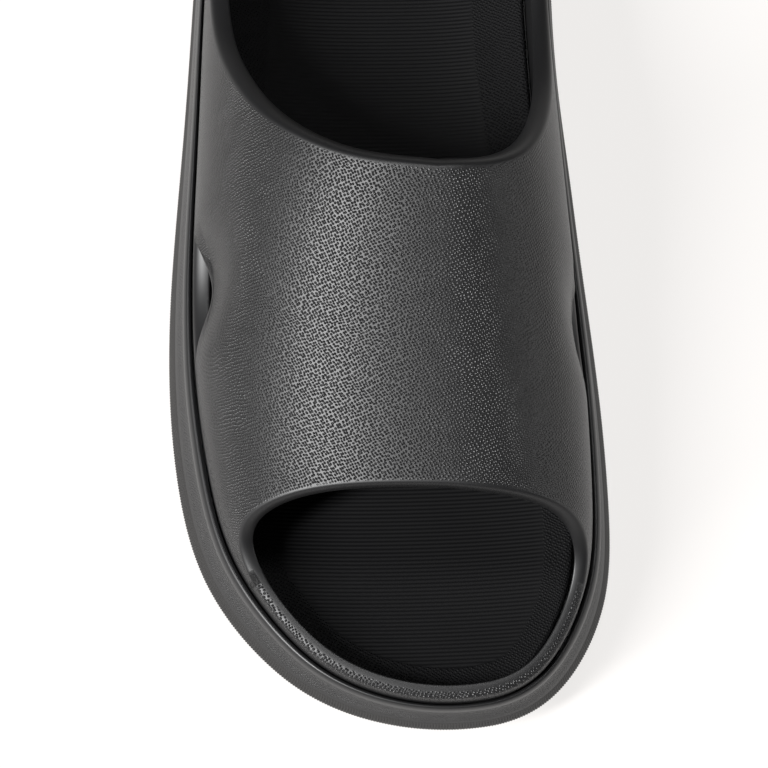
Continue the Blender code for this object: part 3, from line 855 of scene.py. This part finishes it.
# The low wall all round, from its foot on the ledge to the openings' edges or the slot lines
toe_angles = np.linspace(-angle_of(places[0][0]), angle_of(places[1][0]), TOE_STATIONS + 1)[1:-1]
medial_angles = angle_of(places[1])
heel_ends = (angle_of(places[1][-1]), 2 * math.pi - angle_of(places[0][-1]))
heel_angles = np.linspace(*heel_ends, HEEL_STATIONS + 1)[1:-1]
heel_angles = np.where(heel_angles > math.pi, heel_angles - 2 * math.pi, heel_angles)
lateral_angles = -angle_of(places[0])[::-1]
ring_angles = np.concatenate([toe_angles, medial_angles, heel_angles, lateral_angles])
slots = [slot_lines(0), slot_lines(1)]
edge_sides = []
for edges, at in ((toe_edges, toe_angles), (collar_edges, heel_angles)):
    along = along_of(at)
    edge_sides.append(np.where(at < 0, across_at(edges[0], along), across_at(edges[1], along)))
ring_tops = np.concatenate([1 - edge_sides[0], slots[1][0], 1 - edge_sides[1], slots[0][0][::-1]])
wall_shares = np.linspace(0, 1, WALL_ROWS + 1)
wall_rises = ring_tops[:, None] * wall_shares
wall_angles = np.repeat(ring_angles[:, None], WALL_ROWS + 1, 1)
wall_points = dome(wall_angles, wall_rises)
wall_normals = dome_normal(wall_angles, wall_rises)
foot_points = wall_points[:, :1].copy()
foot_points[..., 2] = (seat_height(ring_angles) + GAP)[:, None]
foot_normals = wall_normals[:, :1].copy()
foot_normals[..., 2] = 0
foot_normals /= np.linalg.norm(foot_normals, axis=-1, keepdims=True)
middle_points = (foot_points + wall_points[:, :1]) / 2
wall_points = np.concatenate([foot_points, middle_points, wall_points], 1)
wall_normals = np.concatenate([foot_normals, foot_normals, wall_normals], 1)
wall_angles = np.repeat(ring_angles[:, None], WALL_ROWS + 3, 1)

# The strap, from the little toe's slot line over the ridge to the big toe's. Its rows lie closer
# together low on the sides.
across = np.linspace(-1, 1, 2 * STRAP_ROWS + 1)
sides = np.where(across < 0, 0, 1)
away = np.abs(across) * (1.22 - 0.22 * np.abs(across))
heads = np.array([slots[0][1], slots[1][1]])[sides].T
strap_rises = 1 - away * (1 - heads)
shares = np.array([(p - p[0]) / (p[-1] - p[0]) for p in places])
even = shares.mean(0)[:, None]
fronts = np.array([np.interp(a * SLOT_ROW, *toe_edges[s]) for a, s in zip(away, sides)])
backs = np.array([np.interp(a * SLOT_ROW, *collar_edges[s]) for a, s in zip(away, sides)])
share = even + (shares[sides].T - even) * away**2
strap_angles = np.where(across < 0, -1, 1) * angle_of(fronts + (backs - fronts) * share)
strap_points = dome(strap_angles, strap_rises)
strap_normals = dome_normal(strap_angles, strap_rises)

# Number the points, the strap's side rows being the wall's own where no slot is open
ring_size, ring_rows = wall_angles.shape
columns, strap_rows = strap_angles.shape
wall_numbers = np.arange(ring_size * ring_rows).reshape(ring_size, ring_rows)
strap_numbers = ring_size * ring_rows + np.arange(columns * strap_rows).reshape(columns, strap_rows)
medial_start = len(toe_angles)
for m in range(columns):
    for side, row, station in ((0, 0, ring_size - 1 - m), (1, -1, medial_start + m)):
        if slots[side][1][m] <= slots[side][0][m] + 1e-4:
            strap_numbers[m, row] = wall_numbers[station, -1]
middle = np.concatenate([wall_points.reshape(-1, 3), strap_points.reshape(-1, 3)])
normal = np.concatenate([wall_normals.reshape(-1, 3), strap_normals.reshape(-1, 3)])
half = np.concatenate([wall_at(wall_angles).ravel(), wall_at(strap_angles).ravel()])[:, None] / 2

# A flat map of the outside: round the wall by its run, and over the strap by its run from the ridge
strap_v = np.cumsum(np.linalg.norm(np.diff(strap_points, axis=1, prepend=strap_points[:, :1]), axis=-1), 1)
strap_v = strap_v - strap_v[:, STRAP_ROWS:STRAP_ROWS + 1]
strap_u = np.cumsum(np.linalg.norm(np.diff(strap_points, axis=0, prepend=strap_points[:1]), axis=-1), 0)
strap_u = strap_u - strap_u[columns // 2]
wall_run = np.cumsum(np.linalg.norm(np.diff(wall_points[:, 2], axis=0, prepend=wall_points[:1, 2]), axis=-1))
wall_v = np.cumsum(np.linalg.norm(np.diff(wall_points, axis=1, prepend=wall_points[:, :1]), axis=-1), 1)
wall_u = np.repeat(wall_run[:, None], ring_rows, 1)
flat = np.concatenate([
    np.stack([wall_u, wall_v], -1).reshape(-1, 2),
    np.stack([strap_u, strap_v], -1).reshape(-1, 2),
])

net = []
for i in range(ring_size):
    here, following = wall_numbers[i], wall_numbers[(i + 1) % ring_size]
    for r in range(ring_rows - 1):
        net.append([here[r], following[r], following[r + 1], here[r + 1]])
for here, following in zip(strap_numbers, strap_numbers[1:]):
    for r in range(strap_rows - 1):
        net.append([here[r], here[r + 1], following[r + 1], following[r]])
net = [list(dict.fromkeys(int(n) for n in face)) for face in net]

# Only the points that faces use are kept
used = sorted({n for face in net for n in face})
renumbered = {n: i for i, n in enumerate(used)}
net = [[renumbered[n] for n in face] for face in net]
middle, normal, half, flat = middle[used], normal[used], half[used], flat[used]
is_wall = np.array(used) < ring_size * ring_rows


def open_edges(faces):
    """The net's open edges as rings of points."""
    sides_used = {(face[i], face[(i + 1) % len(face)]) for face in faces for i in range(len(face))}
    follows = {a: b for a, b in sides_used if (b, a) not in sides_used}
    rings = []
    while follows:
        ring = [next(iter(follows))]
        while follows[ring[-1]] != ring[0]:
            ring.append(follows.pop(ring[-1]))
        follows.pop(ring[-1])
        rings.append(ring)
    return rings


# Lips: the outside rolls over in a long rounding to a small crisp corner at the inside
lip_profile = [(2 * math.cos(t) - 1, math.sin(t)) for t in np.linspace(0, 1.42, 9)[1:]]
lip_corner_steps = 4
count = len(middle)
points = list(middle + normal * half) + list(middle - normal * half)
smoothness = [1.0] * count + [0.0] * count
flats = list(flat) + list(flat)
faces = [list(face) for face in net] + [[count + i for i in reversed(face)] for face in net]
lip_lines = []
# The grain of the ring round the toes runs on over the first half of its lip
is_toe_ring = is_wall & (along_at(middle[:, 1]) < 0.17)
for ring in open_edges(net):
    low = middle[ring][:, 2].max() < RIM_HEIGHT * 1.4 and len(ring) == ring_size
    rows = [list(ring)]
    if not low:
        lip_lines += [points[i] for i in ring]
        ahead = np.roll(middle[ring], -1, axis=0) - np.roll(middle[ring], 1, axis=0)
        out = np.cross(ahead, normal[ring])
        out /= np.linalg.norm(out, axis=1, keepdims=True)
        reach = half[ring]
        steps = [(n * reach, o * reach) for n, o in lip_profile]
        for turn in np.linspace(0.3, math.pi / 2, lip_corner_steps):
            inwards = LIP_CORNER * (1 - math.sin(turn)) - reach
            steps.append((inwards, reach - LIP_CORNER * (1 - math.cos(turn))))
        for n, o in steps:
            start = len(points)
            rolled = middle[ring] + normal[ring] * n + out * o
            points += list(rolled)
            grained = float(np.mean(n)) > 0
            smoothness += [0.0006 if grained and is_toe_ring[i] else 0.0 for i in ring]
            run = np.linalg.norm(rolled - middle[ring] - normal[ring] * reach, axis=1)
            flats += list(flat[ring] + np.stack([0 * run, run], -1))
            rows.append(list(range(start, start + len(ring))))
    rows.append([count + i for i in ring])
    for upper_row, lower_row in zip(rows, rows[1:]):
        for i in range(len(ring)):
            j = (i + 1) % len(ring)
            faces.append([upper_row[j], upper_row[i], lower_row[i], lower_row[j]])

# How far each point of the outside lies from the lips and from the crease, which keeps them smooth
lip_tree = KDTree(len(lip_lines))
for i, p in enumerate(lip_lines):
    lip_tree.insert(p, i)
lip_tree.balance()
SMOOTH_FOOT = 0.0008
clear = np.array(smoothness)
for i in range(count):
    from_lip = lip_tree.find(points[i])[2]
    above = points[i][2] - rim_height(along_at(points[i][1]))
    if is_toe_ring[i]:
        clear[i] = above - SMOOTH_FOOT
    else:
        clear[i] = min(from_lip, above - SMOOTH_FOOT) if is_wall[i] else from_lip
upper = build("upper_pebbled", points, faces, 60)
set_layers(upper, points, np.array(flats), clear, "clear")

# EVA foam from a mould etched with fine beads 0.75 mm apart: satin, so each bead holds a small soft
# light, while the lips are plain and look darker
upper_foam, upper_shader = eva_foam("eva_foam_pebbled_upper", "#0d0d0e", "#121213", 0.45)
beads = pebbles(upper_foam, "clear", 0.0, 0.0006)
emboss(upper_foam, upper_shader, beads, PEBBLE_DEPTH)
# The tops of the beads are pressed smooth, while the valleys between them and the lips stay matt
gloss = node(upper_foam, "ShaderNodeMapRange", {"Value": beads, "To Min": 0.46, "To Max": 0.26})
upper_foam.node_tree.links.new(gloss.outputs[0], upper_shader.inputs["Roughness"])
upper.data.materials.append(upper_foam)
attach(upper, "root")
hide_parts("upper")


# Studio. A plain pale floor that glows with painted light, under soft boxes: a strong narrow one high on the
# little toe's side, and weak ones over the toe, over the heel and on the big toe's side. The camera looks down on
# the toe through a long lens.
floor_mesh = bpy.data.meshes.new("floor")
FLOOR_HALF = 6.0
corners = [(FLOOR_HALF * x, FLOOR_HALF * y, 0) for x, y in ((-1, -1), (1, -1), (1, 1), (-1, 1))]
floor_mesh.from_pydata(corners, [], [(0, 1, 2, 3)])
floor = bpy.data.objects.new("floor", floor_mesh)
bpy.context.scene.collection.objects.link(floor)
glowing_paper = bpy.data.materials.new("matt_paper_with_painted_glow")
glowing_paper.use_nodes = True
paper = glowing_paper.node_tree.nodes["Principled BSDF"]
paper.inputs["Base Color"].default_value = linear("#62605f")
paper.inputs["Roughness"].default_value = 0.9
paper.inputs["Emission Color"].default_value = linear("#fffdfb")
# The floor glows with painted light: pale all over and brighter in a pool round the shoe, which hides the shoe's
# shadow and lights its lower edges
place = node(glowing_paper, "ShaderNodeTexCoord").outputs["Object"]
away = node(glowing_paper, "ShaderNodeVectorMath", {0: place}, operation="LENGTH")
painted_light_pool = node(
    glowing_paper,
    "ShaderNodeMapRange",
    {"Value": away.outputs["Value"], "From Min": 0.17, "From Max": 0.80, "To Min": 0.80, "To Max": 0.50},
    interpolation_type="SMOOTHSTEP",
)
glowing_paper.node_tree.links.new(painted_light_pool.outputs[0], paper.inputs["Emission Strength"])
floor_mesh.materials.append(glowing_paper)


def soft_box(name, place, aim, width, height, watts):
    data = bpy.data.lights.new(name, "AREA")
    data.shape = "RECTANGLE"
    data.size = width
    data.size_y = height
    data.energy = watts
    light = bpy.data.objects.new(name, data)
    light.location = place
    light.rotation_euler = (Vector(aim) - Vector(place)).to_track_quat("-Z", "Y").to_euler()
    bpy.context.scene.collection.objects.link(light)


instep = (0, -0.04, 0.06)
soft_box("soft_box_lateral", (-0.84, -0.56, 1.10), instep, 0.18, 0.8, 50)
soft_box("soft_box_toe", (-0.1, -1.1, 1.1), instep, 0.7, 0.5, 1)
soft_box("soft_box_medial", (1.3, -0.1, 0.5), instep, 0.6, 0.9, 4)
soft_box("soft_box_heel", (0.05, 0.32, 1.35), instep, 0.5, 0.3, 5)

world = bpy.data.worlds.new("studio")
world.use_nodes = True
world.node_tree.nodes["Background"].inputs["Color"].default_value = (1, 1, 1, 1)
world.node_tree.nodes["Background"].inputs["Strength"].default_value = 0.012
bpy.context.scene.world = world
bpy.context.scene.view_settings.view_transform = "Standard"

CAMERA_DISTANCE = 0.900
CAMERA_HEIGHT = math.radians(75)
CAMERA_SIDE = math.radians(-2)
CAMERA_ROLL = math.radians(0.9)
FOCAL_LENGTH = 170.4
SHOE_POINT = Vector((-0.00125, -0.0541, 0.030))
# How far the middle of the picture lies from that point, to the right and up, in the picture's own plane
AIM_OFFSET = (-0.00099, -0.00446)
back = Vector((math.sin(CAMERA_SIDE), -math.cos(CAMERA_HEIGHT), math.sin(CAMERA_HEIGHT))).normalized()
right = Vector((0, 1, 0)).cross(back).normalized()
up = back.cross(right)
rolled_right = right * math.cos(CAMERA_ROLL) + up * math.sin(CAMERA_ROLL)
rolled_up = up * math.cos(CAMERA_ROLL) - right * math.sin(CAMERA_ROLL)
stand = SHOE_POINT + CAMERA_DISTANCE * back
aim = SHOE_POINT + AIM_OFFSET[0] * rolled_right + AIM_OFFSET[1] * rolled_up
back = (stand - aim).normalized()
right = rolled_up.cross(back).normalized()
up = back.cross(right)
camera_data = bpy.data.cameras.new("camera")
camera_data.lens = FOCAL_LENGTH
camera_data.sensor_width = 36
camera = bpy.data.objects.new("camera", camera_data)
camera.matrix_world = Matrix.Translation(stand) @ Matrix((right, up, back)).transposed().to_4x4()
bpy.context.scene.collection.objects.link(camera)
bpy.context.scene.camera = camera
